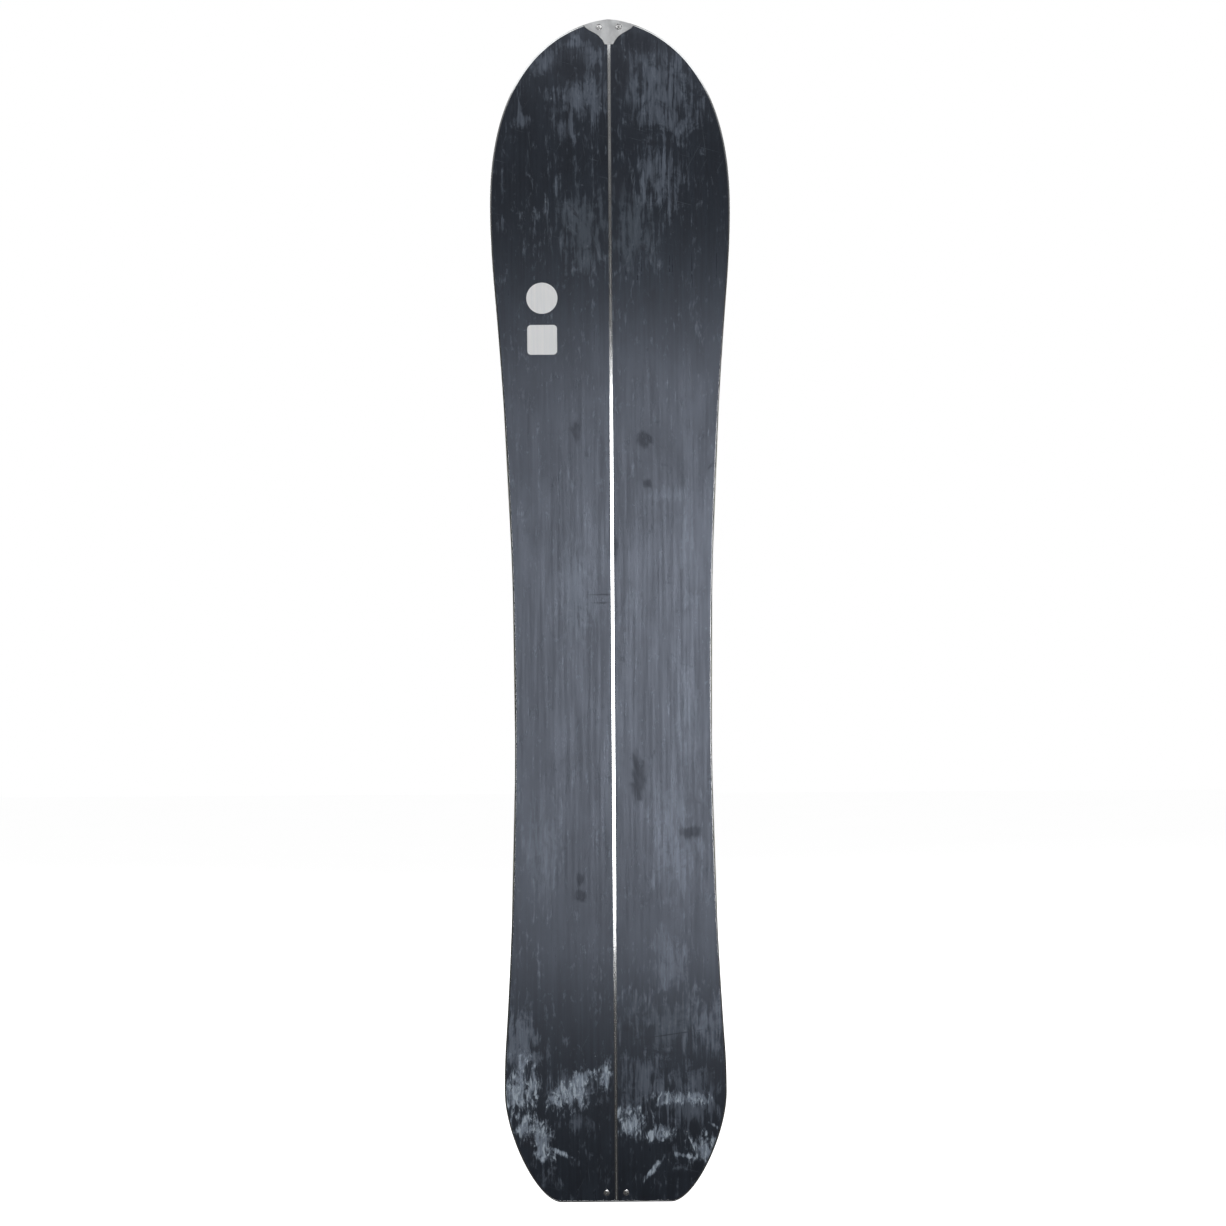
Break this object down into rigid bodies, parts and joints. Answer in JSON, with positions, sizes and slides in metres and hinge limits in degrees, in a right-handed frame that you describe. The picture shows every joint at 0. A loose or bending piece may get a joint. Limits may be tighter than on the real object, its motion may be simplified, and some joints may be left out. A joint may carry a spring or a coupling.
{
  "type": "splitboard",
  "caption": "Directional freeride splitboard built as steel-edged laminated halves that lock together with swinging clips and hooks.",
  "frame": {"origin": "on the seam, half way along the board, on the flat of the snow side", "axes": "+Z runs to the nose, +X across the board to the right-hand half as seen from the snow side, -Y is the way the snow side faces"},
  "size_m": [0.3228, 0.06, 1.5998],
  "materials": {
    "base": "waxed sintered polyethylene, worn",
    "end_plate": "satin",
    "steel_edge": "ground",
    "laminate": "glass fibre in epoxy",
    "core": "raw laminated strips",
    "sidewall": "satin",
    "topsheet": "satin",
    "insert": "plain",
    "washer": "plain",
    "fastener": "plain",
    "hook_plate": "satin black",
    "clip_metal": "satin"
  },
  "bodies": {
    "left_half": {"left_base_sheet": "base", "left_nose_plate": "end_plate", "left_outer_edge": "steel_edge", "left_inner_edge": "steel_edge", "left_lower_laminate": "laminate", "left_wood_core": "core", "left_outer_sidewall": "sidewall", "left_inner_sidewall": "sidewall", "left_upper_laminate": "laminate", "left_topsheet": "topsheet", "left_front_insert_strip": "insert", "left_touring_insert_strip": "insert", "left_rear_insert_strip": "insert", "left_nose_screw": "fastener", "left_tail_screw": "fastener", "left_front_hook_screw_upper": "fastener", "left_front_hook_screw_lower": "fastener", "left_rear_hook_screw_upper": "fastener", "left_rear_hook_screw_lower": "fastener", "nose_clip_bush": "clip_metal", "nose_clip_washer": "washer", "tail_clip_bush": "clip_metal", "tail_clip_washer": "washer", "front_hook_base": "hook_plate", "front_hook_rivet": "clip_metal", "rear_hook_base": "hook_plate", "rear_hook_rivet": "clip_metal"},
    "right_half": {"right_base_sheet": "base", "right_nose_plate": "end_plate", "right_outer_edge": "steel_edge", "right_inner_edge": "steel_edge", "right_lower_laminate": "laminate", "right_wood_core": "core", "right_outer_sidewall": "sidewall", "right_inner_sidewall": "sidewall", "right_upper_laminate": "laminate", "right_topsheet": "topsheet", "right_front_insert_strip": "insert", "right_touring_insert_strip": "insert", "right_rear_insert_strip": "insert", "right_nose_screw": "fastener", "right_tail_screw": "fastener", "right_front_hook_screw_upper": "fastener", "right_front_hook_screw_lower": "fastener", "right_rear_hook_screw_upper": "fastener", "right_rear_hook_screw_lower": "fastener", "nose_clip_post": "clip_metal", "tail_clip_post": "clip_metal", "front_hook_catch": "hook_plate", "rear_hook_catch": "hook_plate"},
    "nose_clip": {"nose_clip_arm": "clip_metal"},
    "tail_clip": {"tail_clip_arm": "clip_metal"},
    "front_hook": {"front_hook_arm": "clip_metal"},
    "rear_hook": {"rear_hook_arm": "clip_metal"}
  },
  "joints": [
    {"name": "nose_clip_swing", "type": "hinge", "parent": "left_half", "child": "nose_clip", "pos_m": [-0.0132, 0.05595, 0.78677], "axis": [0, -0.9701, 0.2426], "range_deg": [0, 90]},
    {"name": "tail_clip_swing", "type": "hinge", "parent": "left_half", "child": "tail_clip", "pos_m": [-0.0132, 0.02403, -0.78639], "axis": [0, 0.9943, 0.107], "range_deg": [0, 90]},
    {"name": "front_hook_swing", "type": "hinge", "parent": "left_half", "child": "front_hook", "pos_m": [-0.016, 0.01367, 0.42963], "axis": [0, -0.9997, 0.026], "range_deg": [0, 90]},
    {"name": "rear_hook_swing", "type": "hinge", "parent": "left_half", "child": "rear_hook", "pos_m": [-0.016, 0.01311, -0.56172], "axis": [0, -0.9999, -0.0159], "range_deg": [0, 90]},
    {"name": "halves_apart", "type": "slide", "parent": "left_half", "child": "right_half", "axis": [1, 0, 0], "range_m": [0, 0.16]}
  ]
}
